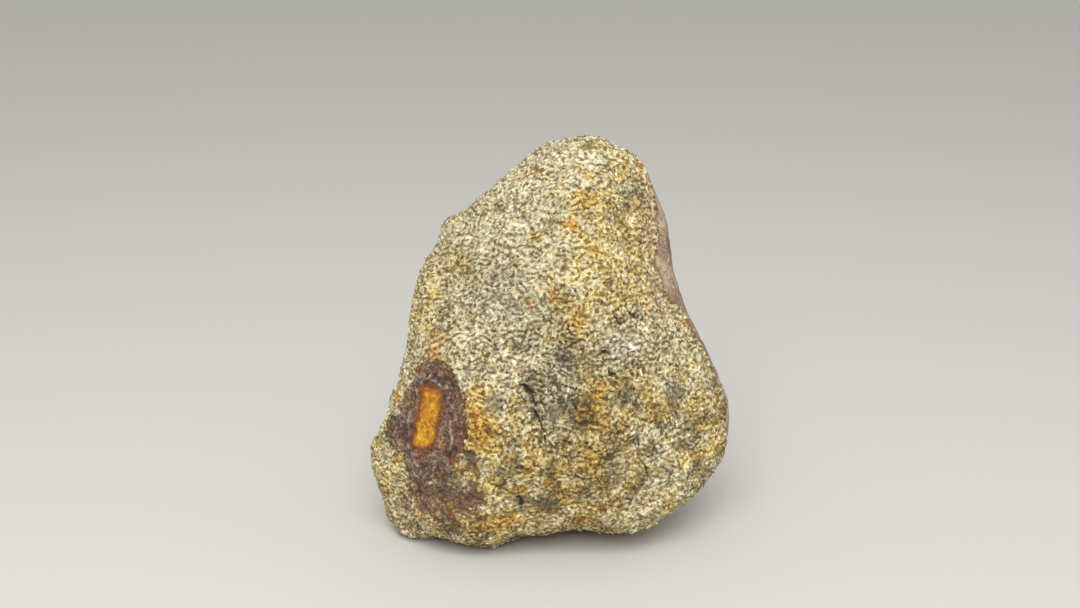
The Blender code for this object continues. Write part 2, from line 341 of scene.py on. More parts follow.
def ring_depth(spots: np.ndarray, ring: Line) -> np.ndarray:
    """How far spots are inside a closed ring of points.

    Args:
        spots: Rows of right and up.
        ring: The points.

    Returns:
        One depth a row, below 0 outside the ring.
    """
    closed = [*ring, ring[0]]
    inside = np.zeros(len(spots), dtype=bool)
    for (x0, y0), (x1, y1) in pairwise(closed):
        if y0 != y1:
            crossing = x0 + (spots[:, 1] - y0) * (x1 - x0) / (y1 - y0)
            spans = (spots[:, 1] < y0) != (spots[:, 1] < y1)
            inside ^= spans & (spots[:, 0] < crossing)
    return np.where(inside, 1.0, -1.0) * line_gap(spots, closed)


@dataclass(frozen=True)
class RustEye:
    """The rust-zoned eye: a dark band, a thin pale line, a red-brown ring and a core."""

    band: Line = (
        (-14.3, 20.7), (-13.3, 20.6), (-12.1, 19.5), (-11.0, 18.1), (-10.6, 16.6), (-10.5, 14.8),
        (-9.8, 12.8), (-11.2, 10.8), (-11.8, 9.6), (-12.5, 8.7), (-14.5, 7.7), (-16.0, 7.9),
        (-16.9, 9.3), (-18.5, 12.1), (-18.7, 13.3), (-18.0, 14.7), (-16.6, 17.3), (-15.4, 19.9),
    )
    line: Line = (
        (-14.2, 18.9), (-13.5, 18.1), (-12.5, 17.7), (-11.9, 16.1), (-12.0, 13.9), (-12.0, 11.7),
        (-12.7, 10.0), (-14.0, 9.0), (-15.7, 9.3), (-16.4, 11.1), (-16.9, 12.4), (-16.5, 14.5),
        (-16.4, 15.8), (-15.4, 17.8),
    )
    core: Line = (
        (-15.2, 17.7), (-14.0, 17.9), (-12.9, 17.0), (-13.0, 15.8), (-13.1, 14.7), (-13.4, 13.3),
        (-13.9, 11.8), (-14.8, 11.1), (-15.8, 11.3), (-16.3, 12.0), (-15.8, 13.8), (-15.2, 15.8),
    )
    ragged: float = 0.28
    far: float = 20.0

    def depths(self, face: np.ndarray) -> Fields:
        """How far inside the band, the pale line and the core.

        Args:
            face: Rows of face axes.

        Returns:
            Millimetres inside each, below 0 outside it, and far below 0 on the back.
        """
        sway = np.column_stack([soft_noise(face, 0.9, seed) for seed in (3.1, 17.7)])
        spots = face[:, :2] + self.ragged * sway
        behind = self.far * (1 - smooth_step(-2.0, 1.0, face[:, 2]))
        rings = {"eye": self.band, "eye_line": self.line, "eye_core": self.core}
        return {name: ring_depth(spots, ring) - behind for name, ring in rings.items()}


@dataclass(frozen=True)
class CrustMap:
    """Where the brown crust wraps the back of the stone.

    The edge is how far out the crust reaches at each angle round the middle of the face. A
    chip is a place in face axes and its size.
    """

    middle: float = 17.0
    edge: Line = (
        (-180, -6.0), (-150, -5.0), (-120, -6.5), (-90, -7.0), (-60, -4.0), (-35, -1.6),
        (-10, 0.3), (8, 0.7), (20, 1.3), (33, 1.9), (46, 3.7), (56, 3.4), (63, 1.2),
        (90, -4.0), (120, -6.5), (150, -5.0), (180, -6.0),
    )
    chips: tuple[tuple[float, float, float, float], ...] = (
        (-9.0, 36.0, -7.0, 5.0), (13.0, 6.5, -9.0, 5.5), (-15.5, 10.0, -9.5, 4.0),
        (4.0, 27.5, -16.0, 2.6),
    )
    waves: tuple[tuple[float, float, float], ...] = (
        (0.8, 3.0, 0.0), (0.30, 1.1, 5.3), (0.16, 0.5, 9.1),
    )

    def inside(self, face: np.ndarray) -> np.ndarray:
        """How far inside the crust's edge.

        Args:
            face: Rows of face axes.

        Returns:
            Millimetres inside, below 0 outside.
        """
        about = face - np.array((0.0, self.middle, 0.0))
        angle = np.degrees(np.arctan2(about[:, 1], about[:, 0]))
        inside = np.interp(angle, *zip(*self.edge)) - face[:, 2]
        uneven = 1 + 0.7 * soft_noise(face, 3.4, 41.0)
        for *middle, size in self.chips:
            gap = np.linalg.norm(face - np.array(middle), axis=1)
            inside = np.minimum(inside, gap - size * uneven)
        for reach, wave, seed in self.waves:
            inside = inside + reach * soft_noise(about, wave, seed)
        return inside


@dataclass
class StoneMap:
    """Every mark of the stone as fields over its surface."""

    axes: FaceAxes = field(default_factory=FaceAxes)
    crust: CrustMap = field(default_factory=CrustMap)
    eye: RustEye = field(default_factory=RustEye)
    sways: Line = ((3.4, 0.9), (1.1, 0.4))
    far: float = 9.0
    unseen: tuple[Blotches, ...] = (
        Blotches(Stain.OCHRE, 0.00, 0.14, 4.5, 71.0, 0.05, 0.50),
        Blotches(Stain.RED, 0.08, 0.20, 4.0, 67.0, 0.00, 0.40),
        Blotches(Stain.EARTH, 0.16, 0.30, 5.5, 77.0, 0.00, 0.40),
        Blotches(Stain.RUST, 0.04, 0.18, 3.0, 83.0, 0.10, 0.50),
    )
    lower: tuple[Blotches, ...] = (
        Blotches(Stain.OCHRE, 0.00, 0.44, 2.1, 91.0, -0.10, 0.45),
        Blotches(Stain.RUST, 0.00, 0.22, 1.5, 97.0, 0.25, 0.60),
        Blotches(Stain.DARK, 0.00, 0.42, 1.9, 103.0, 0.10, 0.50),
        Blotches(Stain.EARTH, 0.00, 0.40, 2.6, 109.0, 0.00, 0.45),
    )

    def fields(self, places: np.ndarray) -> Fields:
        """Reads all the fields at places on the stone.

        Args:
            places: Rows of the stone's frame.

        Returns:
            One array of values for each attribute name.
        """
        face = self.axes.from_world(places)
        front = smooth_step(-3.0, 0.0, face[:, 2])
        behind = 1 - front
        swayed = face.copy()
        for wave, reach in self.sways:
            sway = [soft_noise(face, wave, seed) for seed in (2.7, 31.9, 55.3)]
            swayed += reach * np.column_stack(sway)
        stains = {}
        for stain, rows in PATCHES.items():
            stains[stain] = front * np.max([Patch(*row).share(swayed) for row in rows], axis=0)
        stains[Stain.BROWN] += 0.9 * behind
        stains[Stain.CONTRAST] -= 0.75 * behind
        stains[Stain.OCHRE] += 0.05
        # Ochre, rust, dark and earth blotches are laid on more strongly low on the face, so the
        # lower face comes out darker and browner.
        low = 0.35 + 0.65 * (1 - smooth_step(12.0, 26.0, face[:, 1]))
        low *= 0.4 + 0.6 * front
        for reach, kinds in ((behind, self.unseen), (low, self.lower)):
            for blotches in kinds:
                stains[blotches.stain] += reach * blotches.share(face)
        clean = np.clip(0.9 * stains[Stain.PALE] + 0.55 * stains[Stain.CONTRAST], 0.0, 0.85)
        stains[Stain.OCHRE] *= 1 - front * clean
        return {
            "crust": self.crust.inside(face),
            **self.eye.depths(face),
            **{stain.value: amount for stain, amount in stains.items()},
            "crack": front * np.max([crack.share(swayed) for crack in CRACKS], axis=0),
            "margin": np.min([crack.margin(swayed) for crack in CRACKS], axis=0)
            + self.far * behind,
        }


def mesh_arrays(mesh: bpy.types.Mesh) -> tuple[np.ndarray, np.ndarray, np.ndarray]:
    """Reads a mesh of triangles.

    Args:
        mesh: The mesh to read.

    Returns:
        Its places in millimetres, its vertex normals and its triangles.
    """
    places = np.empty(len(mesh.vertices) * 3)
    normals = np.empty(len(mesh.vertices) * 3)
    corners = np.empty(len(mesh.loops), dtype=np.int64)
    mesh.vertices.foreach_get("co", places)
    mesh.vertex_normals.foreach_get("vector", normals)
    mesh.loops.foreach_get("vertex_index", corners)
    return places.reshape(-1, 3) / MM, normals.reshape(-1, 3), corners.reshape(-1, 3)


def triangle_mesh(name: str, places: np.ndarray, triangles: np.ndarray) -> bpy.types.Mesh:
    """Writes a mesh of triangles.

    Args:
        name: The mesh's name.
        places: Rows of millimetres.
        triangles: Rows of three vertex numbers.

    Returns:
        The new mesh, in metres.
    """
    mesh = bpy.data.meshes.new(name)
    mesh.vertices.add(len(places))
    mesh.loops.add(triangles.size)
    mesh.polygons.add(len(triangles))
    mesh.vertices.foreach_set("co", (places * MM).ravel())
    mesh.loops.foreach_set("vertex_index", triangles.ravel().astype(np.int32))
    mesh.polygons.foreach_set("loop_start", np.arange(0, triangles.size, 3, dtype=np.int32))
    mesh.update(calc_edges=True)
    mesh.validate()
    return mesh


def edges_of(triangles: np.ndarray) -> tuple[np.ndarray, np.ndarray]:
    """The edges of a mesh of triangles.

    Args:
        triangles: Rows of three vertex numbers.

    Returns:
        Rows of two vertex numbers, and the three edges of each triangle in its own order.
    """
    ends = np.stack((triangles, np.roll(triangles, -1, axis=1)), axis=2)
    edges, sides = np.unique(np.sort(ends.reshape(-1, 2), axis=1), axis=0, return_inverse=True)
    return edges, sides.reshape(-1, 3)


def halved(places: np.ndarray, triangles: np.ndarray, cuts: np.ndarray) -> np.ndarray:
    """Splits triangles at the middles of their cut edges, with no gap or doubled face.

    Args:
        places: Rows of millimetres.
        triangles: Rows of three vertex numbers.
        cuts: The vertex number at the middle of each triangle's edges, -1 where uncut.

    Returns:
        The new triangles.
    """
    count = (cuts >= 0).sum(axis=1)
    turn = np.where(count == 2, (cuts < 0).argmax(axis=1) + 1, (cuts >= 0).argmax(axis=1))
    order = (np.arange(3) + turn[:, None]) % 3
    a, b, c = np.take_along_axis(triangles, order, axis=1).T
    ab, bc, ca = np.take_along_axis(cuts, order, axis=1).T
    steps = places[a] - places[bc], places[ab] - places[c]
    first = np.linalg.norm(steps[0], axis=1) < np.linalg.norm(steps[1], axis=1)
    one, two, three = (count == number for number in (1, 2, 3))
    parts = (
        (count == 0, (a, b, c)),
        (one, (a, ab, c)), (one, (ab, b, c)),
        (two, (ab, b, bc)),
        (two & first, (a, ab, bc)), (two & first, (a, bc, c)),
        (two & ~first, (a, ab, c)), (two & ~first, (ab, bc, c)),
        (three, (a, ab, ca)), (three, (ab, b, bc)), (three, (ca, bc, c)), (three, (ab, bc, ca)),
    )
    return np.vstack([np.column_stack(corners)[chosen] for chosen, corners in parts])


def link(name: str, data: bpy.types.ID) -> bpy.types.Object:
    """Puts a mesh, a lamp or a camera in the scene."""
    piece = bpy.data.objects.new(name, data)
    bpy.context.scene.collection.objects.link(piece)
    return piece


@dataclass(frozen=True)
class Flow:
    """What one node gives to others. Sums on it are written plainly."""

    net: Net
    socket: bpy.types.NodeSocket

    def __add__(self, other: Feed) -> Flow:
        """This value and another, added."""
        return self.net.maths("ADD", self, other)

    def __sub__(self, other: Feed) -> Flow:
        """This value less another."""
        return self.net.maths("SUBTRACT", self, other)

    def __mul__(self, other: Feed) -> Flow:
        """This value times another."""
        return self.net.maths("MULTIPLY", self, other)

    __radd__ = __add__
    __rmul__ = __mul__


Feed = Flow | float | Colour


@dataclass
class Net:
    """Adds and joins the nodes of one material. Lengths are in millimetres."""

    material: bpy.types.Material
    tree: bpy.types.NodeTree = field(init=False)

    def __post_init__(self) -> None:
        """Starts from an empty node tree."""
        self.material.use_nodes = True
        self.tree = self.material.node_tree
        self.tree.nodes.clear()

    def node(self, kind: str, feeds: dict[str | int, Feed], **settings: object) -> bpy.types.Node:
        """Adds a node.

        Args:
            kind: The node's type, without its usual prefix.
            feeds: What goes into its sockets, by their names or numbers.
            **settings: Its own settings.

        Returns:
            The new node.
        """
        made = self.tree.nodes.new(f"ShaderNode{kind}")
        for name, value in settings.items():
            setattr(made, name, value)
        for name, value in feeds.items():
            socket = made.inputs[name]
            if isinstance(value, Flow):
                self.tree.links.new(value.socket, socket)
            elif isinstance(value, tuple) and socket.type == "RGBA":
                socket.default_value = (*value, 1.0)
            else:
                socket.default_value = value
        return made

    def flow(
        self, kind: str, feeds: dict[str | int, Feed], output: str | int = 0, **settings: object
    ) -> Flow:
        """Adds a node and takes what one of its outputs gives."""
        return Flow(self, self.node(kind, feeds, **settings).outputs[output])

    def maths(self, operation: str, *values: Feed) -> Flow:
        """The result of one sum on numbers."""
        return self.flow("Math", dict(enumerate(values)), operation=operation)

    def mark(self, name: str) -> Flow:
        """One of the stone's marks, which the mesh keeps as a field."""
        return self.flow("Attribute", {}, "Fac", attribute_name=name)

    def stain(self, stain: Stain) -> Flow:
        """How strong a stain is."""
        return self.mark(stain.value)

    def place(self) -> Flow:
        """The place on the object."""
        spot = self.flow("TexCoord", {}, "Object")
        return self.flow("VectorMath", {0: spot, "Scale": 1 / MM}, operation="SCALE")

    def moved(self, place: Flow, by: Feed, reach: float) -> Flow:
        """A place moved by a scaled vector."""
        step = self.flow("VectorMath", {0: by, "Scale": reach}, operation="SCALE")
        return self.flow("VectorMath", {0: place, 1: step}, operation="ADD")

    def noise(
        self,
        place: Flow,
        wave: float,
        detail: float = 2.0,
        rough: float = 0.5,
        output: str | int = 0,
    ) -> Flow:
        """Soft noise of a wave length."""
        feeds = {"Vector": place, "Scale": 1 / wave, "Detail": detail, "Roughness": rough}
        return self.flow("TexNoise", feeds, output)

    def swayed(
        self, place: Flow, reach: float, wave: float, detail: float = 2.0, rough: float = 0.5
    ) -> Flow:
        """A place that noise of a wave length moves about."""
        return self.moved(place, self.noise(place, wave, detail, rough, "Color"), reach)

    def cells(self, place: Flow, width: float) -> tuple[Flow, ...]:
        """Cells, each with chance values of its own.

        Args:
            place: The place in millimetres.
            width: The cells' usual width.

        Returns:
            The gap to the cell's middle, in widths, and its three chance values.
        """
        made = self.node("TexVoronoi", {"Vector": place, "Scale": 1 / width})
        parts = self.node("SeparateColor", {0: Flow(self, made.outputs["Color"])}).outputs
        return tuple(Flow(self, part) for part in (made.outputs["Distance"], *parts))

    def weave(self, place: Flow, period: float) -> Flow:
        """Short bent strands a period apart, from 0 to 1."""
        feeds = {"Vector": place, "Scale": 0.5 / period, "Frequency": 2.0, "Anisotropy": 0.0}
        return self.flow("TexGabor", feeds, "Value", gabor_type="3D")

    def climb(
        self, value: Feed, low: float, high: float, start: float = 0.0, end: float = 1.0
    ) -> Flow:
        """A smooth climb from start to end as a value goes from low to high."""
        feeds = {"Value": value, "From Min": low, "From Max": high, "To Min": start, "To Max": end}
        return self.flow("MapRange", feeds, "Result", interpolation_type="SMOOTHSTEP")

    def mix(self, share: Feed, first: Feed, second: Feed, blend: str = "MIX") -> Flow:
        """Two colours mixed."""
        feeds = {0: share, 6: first, 7: second}
        return self.flow("Mix", feeds, 2, data_type="RGBA", blend_type=blend)

    def blend(self, share: Feed, first: Feed, second: Feed) -> Flow:
        """Two numbers mixed."""
        return self.flow("Mix", {0: share, 2: first, 3: second})

    def tones(self, value: Flow, ramp: Ramp) -> Flow:
        """The colour of a ramp at a value.

        Args:
            value: A value from 0 to 1.
            ramp: Where each paint colour is met.

        Returns:
            The colour.
        """
        made = self.node("ValToRGB", {0: value})
        elements = made.color_ramp.elements
        while len(elements) < len(ramp):
            elements.new(1.0)
        for element, (position, *shades) in zip(elements, ramp):
            element.position = position
            element.color = (*paint(*shades), 1.0)
        return Flow(self, made.outputs[0])

    def finished(self, coat: Coat) -> bpy.types.Material:
        """Joins a coat to the surface.

        Args:
            coat: The colour, roughness and height to show.

        Returns:
            The finished material.
        """
        feeds = {"Strength": 1.0, "Distance": MM, "Height": coat.height}
        normal = self.flow("Bump", feeds)
        feeds = {"Base Color": coat.colour, "Roughness": coat.roughness, "Normal": normal}
        surface = self.node("BsdfPrincipled", feeds)
        surface.inputs["Specular IOR Level"].default_value = 0.5
        self.node("OutputMaterial", {"Surface": Flow(self, surface.outputs[0])})
        return self.material


@dataclass(frozen=True)
class Coat:
    """What a finish gives: a colour, a roughness and a height in millimetres."""

    colour: Feed
    roughness: Feed
    height: Feed

    def over(self, net: Net, share: Feed, other: Coat) -> Coat:
        """This coat with another laid over it by a share."""
        return Coat(
            net.mix(share, self.colour, other.colour),
            net.blend(share, self.roughness, other.roughness),
            net.blend(share, self.height, other.height),
        )


@dataclass(frozen=True)
class StainTone:
    """How one stain changes the rock's colour: a tint, and a body colour over it."""

    stain: Stain
    tint: Colour
    body: Colour
    cover: float


@dataclass(frozen=True)
class RockFinish:
    """The broken rock: felted pale laths round small dark grains, with its stains, and painted
    shade in the gaps between the laths.
    """

    strand: float = 0.56
    mosaic: float = 0.66
    middle_tone: float = 0.47
    clean: Ramp = (
        (0.00, 68, 57, 40), (0.20, 110, 98, 72), (0.40, 150, 139, 108), (0.60, 188, 178, 142),
        (0.80, 222, 213, 180), (0.93, 242, 236, 214), (1.00, 252, 249, 238),
    )
    golden: Ramp = (
        (0.00, 74, 57, 30), (0.20, 121, 99, 53), (0.40, 167, 141, 82), (0.60, 206, 182, 114),
        (0.80, 233, 217, 160), (0.93, 247, 239, 204), (1.00, 253, 249, 232),
    )
    deep: Colour = (0.98, 0.85, 0.46)
    # Painted shade for the insides of cracks and pits.
    crack_shade: Colour = paint(40, 33, 22)
    shifts: tuple[tuple[Stain, float], ...] = (
        (Stain.PALE, 0.20), (Stain.DARK, -0.26), (Stain.EARTH, -0.12), (Stain.OCHRE, -0.02),
    )
    stains: tuple[StainTone, ...] = (
        StainTone(Stain.COOL, (0.98, 0.98, 1.05), paint(160, 153, 149), 0.30),
        StainTone(Stain.EARTH, (0.88, 0.81, 0.66), paint(130, 114, 78), 0.10),
        StainTone(Stain.BROWN, (1.00, 0.92, 0.97), paint(150, 128, 102), 0.12),
        StainTone(Stain.RUST, (0.94, 0.64, 0.32), paint(182, 112, 44), 0.20),
        # Darkens the grey patches, and paints shade into pits, cracks and pockets.
        StainTone(Stain.DARK, (0.76, 0.76, 0.72), paint(98, 94, 80), 0.22),
        StainTone(Stain.RED, (0.65, 0.51, 0.44), paint(104, 71, 58), 0.38),
        StainTone(Stain.PURPLE, (0.62, 0.54, 0.52), paint(106, 88, 80), 0.44),
    )

    def felt(self, net: Net, place: Flow, broad: Flow, clump: Flow) -> Flow:
        """How far a place is up on the felted laths. The rock's tone follows it, so the gaps come
        out darker: partly darker grains there, partly painted shade.

        Args:
            net: The material's nodes.
            place: The place in millimetres.
            broad: A broad noise, which makes the laths denser where it is high.
            clump: A noise of clumps, which does the same.

        Returns:
            A value from 0 in the gaps between laths to 1 on top of them.
        """
        bent = net.swayed(place, 0.95, 1.5, 3.0, 0.6)
        finer = net.noise(bent, 0.80 * self.strand, 2.0, 0.6)
        level = 0.46 * net.weave(bent, self.strand) + 0.54 * finer + 0.12 * broad + 0.16 * clump
        return net.climb(level - 0.14, 0.375, 0.595)

    def coat(self, net: Net, place: Flow) -> Coat:
        """Wires the rock's coat.

        Args:
            net: The material's nodes.
            place: The place in millimetres.

        Returns:
            The coat.
        """
        _, shade, thirst, gloss = net.cells(net.swayed(place, 0.3, 0.5), self.mosaic)
        fine = net.noise(place, 0.30, 2.0, 0.6)
        broad = net.noise(place, 2.6, 3.0, 0.6)
        clump = net.noise(place, 1.1, 4.0, 0.7)
        # The laths' tone is lighter on top and darker in the gaps: partly the darker grains between
        # them, partly painted shade in the gaps.
        swing = 0.56 * self.felt(net, place, broad, clump) + 0.12 * shade + 0.50 * fine - 0.75
        bold = 0.42 * net.stain(Stain.CONTRAST) + 0.90
        tone = swing * bold + 0.26 * broad + net.mark("tone") + self.middle_tone
        for stain, shift in self.shifts:
            tone = tone + shift * net.stain(stain)
        chance = net.climb(clump, 0.30, 0.68, -0.04, 0.42) + 0.30 * thirst
        colour = self.colour(net, net.maths("MAXIMUM", tone, 0.0), chance)
        # Cracks and pits are darkened towards the near-black crack shade: painted shade in the
        # recesses, laid over their real depth in the mesh.
        crack = net.climb(net.mark("margin") + 1.2 * fine - 0.60, 0.10, -0.06)
        crack = crack * net.climb(net.mark("crack"), 0.0, 0.20, 0.35, 0.95)
        colour = net.mix(crack, colour, self.crack_shade)
        return Coat(colour, net.climb(gloss, 0.86, 1.0, 0.85, 0.32), 0.14 * fine)

    def colour(self, net: Net, tone: Flow, chance: Flow) -> Flow:
        """The stained rock's colour.

        Args:
            net: The material's nodes.
            tone: How light the rock is.
            chance: How much a stain needs before the place takes it up.

        Returns:
            The colour.
        """
        golden = net.tones(tone, self.golden)
        deep = net.climb(net.stain(Stain.OCHRE), 0.55, 1.15)
        golden = net.mix(deep, golden, self.deep, "MULTIPLY")
        ochre = self.uptake(net, Stain.OCHRE, chance)
        colour = net.mix(ochre, net.tones(tone, self.clean), golden)
        for stain in self.stains:
            share = self.uptake(net, stain.stain, chance)
            colour = net.mix(share, colour, stain.tint, "MULTIPLY")
            colour = net.mix(stain.cover * share, colour, stain.body)
        return colour

    def uptake(self, net: Net, stain: Stain, chance: Flow) -> Flow:
        """How stained a place is: a weak stain shows mostly in the grains that take it up."""
        amount = net.stain(stain)
        return net.climb(amount - chance, -0.30, 0.30) * net.climb(amount, 0.0, 0.16)


@dataclass(frozen=True)
class CrustFinish:
    """The weathered crust: dull mauve brown, with a darker lip, pale dust and flecks."""

    lip: Colour = paint(96, 72, 63)
    body: Colour = paint(151, 124, 103)
    deep: Colour = paint(113, 88, 73)
    dust: Colour = paint(196, 175, 142)
    rust: Colour = paint(158, 98, 56)
    fleck: Colour = paint(232, 218, 186)
    drawn_out: Colour = (1.0, 1.0, 0.55)

    def coat(self, net: Net, place: Flow) -> Coat:
        """Wires the crust's coat.

        Args:
            net: The material's nodes.
            place: The place in millimetres.

        Returns:
            The coat.
        """
        depth = net.mark("crust")
        edge = net.climb(depth, 4.5, 1.5)
        drawn = net.flow("VectorMath", {0: place, 1: self.drawn_out}, operation="MULTIPLY")
        broad = net.noise(place, 6.0, 6.0, 0.62)
        mottle = net.noise(drawn, 1.1, 5.0, 0.7)
        fine = net.noise(drawn, 0.34, 3.0, 0.65)
        shade = 0.5 * mottle + 1.4 * broad - 0.10 * edge - 0.45
        colour = net.mix(net.climb(shade, 0.36, 0.66), self.body, self.deep)
        powder = 0.5 * fine + 0.8 * mottle - 0.8 * broad + 0.02 * edge + 0.44
        powder = powder + 0.25 * net.stain(Stain.PALE)
        colour = net.mix(net.climb(powder, 0.62, 0.86, 0.0, 0.8), colour, self.dust)
        colour = net.mix(net.climb(fine, 0.44, 0.30, 0.0, 0.4), colour, self.lip)
        warm = net.noise(net.moved(place, ELSEWHERE, 40.0), 2.4, 5.0, 0.7)
        warm = warm + 0.20 * net.stain(Stain.RUST)
        colour = net.mix(net.climb(warm, 0.54, 0.76, 0.0, 0.7), colour, self.rust)
        fleck = self.flecks(net, place) * (0.55 * edge + 0.25)
        colour = net.mix(fleck, colour, self.fleck)
        lip = net.climb(depth, 0.50, 0.10, 0.0, 0.8) * net.climb(mottle, 0.36, 0.52)
        colour = net.mix(lip, colour, self.lip)
        # The hair cracks are darkened half way to the lip colour: painted shade in the cracks.
        split = self.splits(net, place)
        colour = net.mix(0.5 * split, colour, self.lip)
        height = 0.20 * fine + 0.30 * mottle + 0.05 * fleck - 0.06 * split
        return Coat(colour, net.climb(mottle, 0.36, 0.66, 0.62, 0.86), height)

    def flecks(self, net: Net, place: Flow) -> Flow:
        """Small uneven mineral flecks, 1 on each."""
        gap, chance, _, _ = net.cells(net.swayed(place, 0.35, 0.35), 0.48)
        return net.climb(1.6 * chance - gap - 1.18, -0.04, 0.08)

    def splits(self, net: Net, place: Flow) -> Flow:
        """A few broken hair cracks.

        Args:
            net: The material's nodes.
            place: The place in millimetres.

        Returns:
            A value from 0 to 1 in a crack.
        """
        feeds = {"Vector": net.swayed(place, 3.4, 3.0, 3.0), "Scale": 1 / 5.5}
        gap = net.flow("TexVoronoi", feeds, "Distance", feature="DISTANCE_TO_EDGE")
        return net.climb(gap, 0.014, 0.0) * net.climb(net.noise(place, 2.2), 0.44, 0.54)


@dataclass(frozen=True)
class EyeFinish:
    """The rust-zoned eye, from its dark purple band to its amber core."""

    band: Ramp = (
        (0.00, 44, 30, 28), (0.30, 85, 67, 60), (0.50, 120, 98, 84), (0.70, 150, 128, 110),
        (1.00, 188, 163, 138),
    )
    ring: Ramp = (
        (0.00, 62, 34, 20), (0.30, 98, 60, 36), (0.50, 124, 86, 54), (0.70, 150, 118, 82),
        (1.00, 198, 174, 136),
    )
    core: Ramp = (
        (0.00, 106, 56, 8), (0.30, 160, 98, 8), (0.55, 193, 131, 11), (0.80, 223, 163, 30),
        (1.00, 243, 199, 86),
    )
    seam: Colour = paint(70, 40, 32)
    # Partly a pale lining, partly a painted highlight on the ridge's edge.
    thread: Colour = paint(204, 186, 160)
    core_rim: Colour = paint(112, 58, 22)
    halo: Colour = paint(150, 88, 38)
    right_side: tuple[float, float] = (-12.4, -9.0)
    # Heights over which the core's painted light climbs, from its top to its bottom.
    core_painted_light: tuple[float, float] = (17.5, 13.5)

    def coat(self, net: Net, place: Flow) -> Coat:
        """Wires the eye's coat.

        Args:
            net: The material's nodes.
            place: The place in millimetres.

        Returns:
            The coat.
        """
        fine = net.noise(place, 0.30, 3.0, 0.6)
        mottle = net.noise(place, 0.9, 4.0, 0.65)
        warm = net.noise(net.moved(place, ELSEWHERE, 23.0), 1.6, 3.0)
        right = net.climb(net.flow("SeparateXYZ", {0: place}), *self.right_side)
        level = 1.7 * fine + 1.7 * mottle - 0.20 * net.stain(Stain.DARK) - 0.14 * right - 1.22
        sway = 1.2 * mottle - 0.6
        inner = net.mark("eye_line") + sway
        reddish = 0.4 * right + net.climb(warm, 0.42, 0.60, 0.0, 0.6)
        reddish = reddish + net.climb(inner, -0.1, 0.4, 0.0, 0.4)
        colour = net.mix(reddish, net.tones(level, self.band), net.tones(level, self.ring))
        near = net.maths("ABSOLUTE", inner)
        colour = net.mix(net.climb(near, 0.60, 0.20, 0.0, 0.45), colour, self.seam)
        # The thin pale line along the ridge: partly a pale lining, partly a painted highlight on
        # the ridge's edge.
        broken = net.climb(net.noise(place, 0.9, 3.0, 0.6), 0.42, 0.62)
        thread = net.climb(near, 0.26, 0.06) * broken
        colour = net.mix(0.62 * thread, colour, self.thread)
        core = net.mark("eye_core") + 0.45 * sway
        strands = net.weave(net.swayed(place, 1.2, 1.3), 0.85)
        glow = self.glow(net, place, level, strands, core)
        colour = net.mix(net.climb(core, -0.55, -0.02), colour, self.core_rim)
        colour = net.mix(net.climb(core, -0.16, 0.40), colour, net.tones(glow, self.core))
        rim = net.climb(net.mark("eye") + sway, 0.55, -0.15, 0.0, 0.8)
        colour = net.mix(rim * net.climb(warm, 0.46, 0.60), colour, self.halo)
        vein = net.climb(strands, 0.50, 0.34)
        height = 0.30 * fine + 0.6 * mottle + 0.10 * thread - 0.08 * vein
        return Coat(colour, net.climb(mottle, 0.35, 0.65, 0.42, 0.75), height)

    def glow(self, net: Net, place: Flow, level: Flow, strands: Flow, core: Flow) -> Flow:
        """How bright the core is: brighter along its strands, and brighter in its lower half as
        painted light, which leaves its upper part in painted shade.

        Args:
            net: The material's nodes.
            place: The place in millimetres.
            level: How light the zones round it are.
            strands: Its strands, from 0 to 1.
            core: How far inside it the place is.

        Returns:
            The brightness.
        """
        # Painted light: the core is made brighter towards its lower half.
        lower = net.climb(net.flow("SeparateXYZ", {0: place}, "Z"), *self.core_painted_light)
        inside = net.climb(core, 0.0, 0.8, -0.16, 0.06)
        return 0.50 * level + 0.70 * strands + 0.16 * lower + inside - 0.12


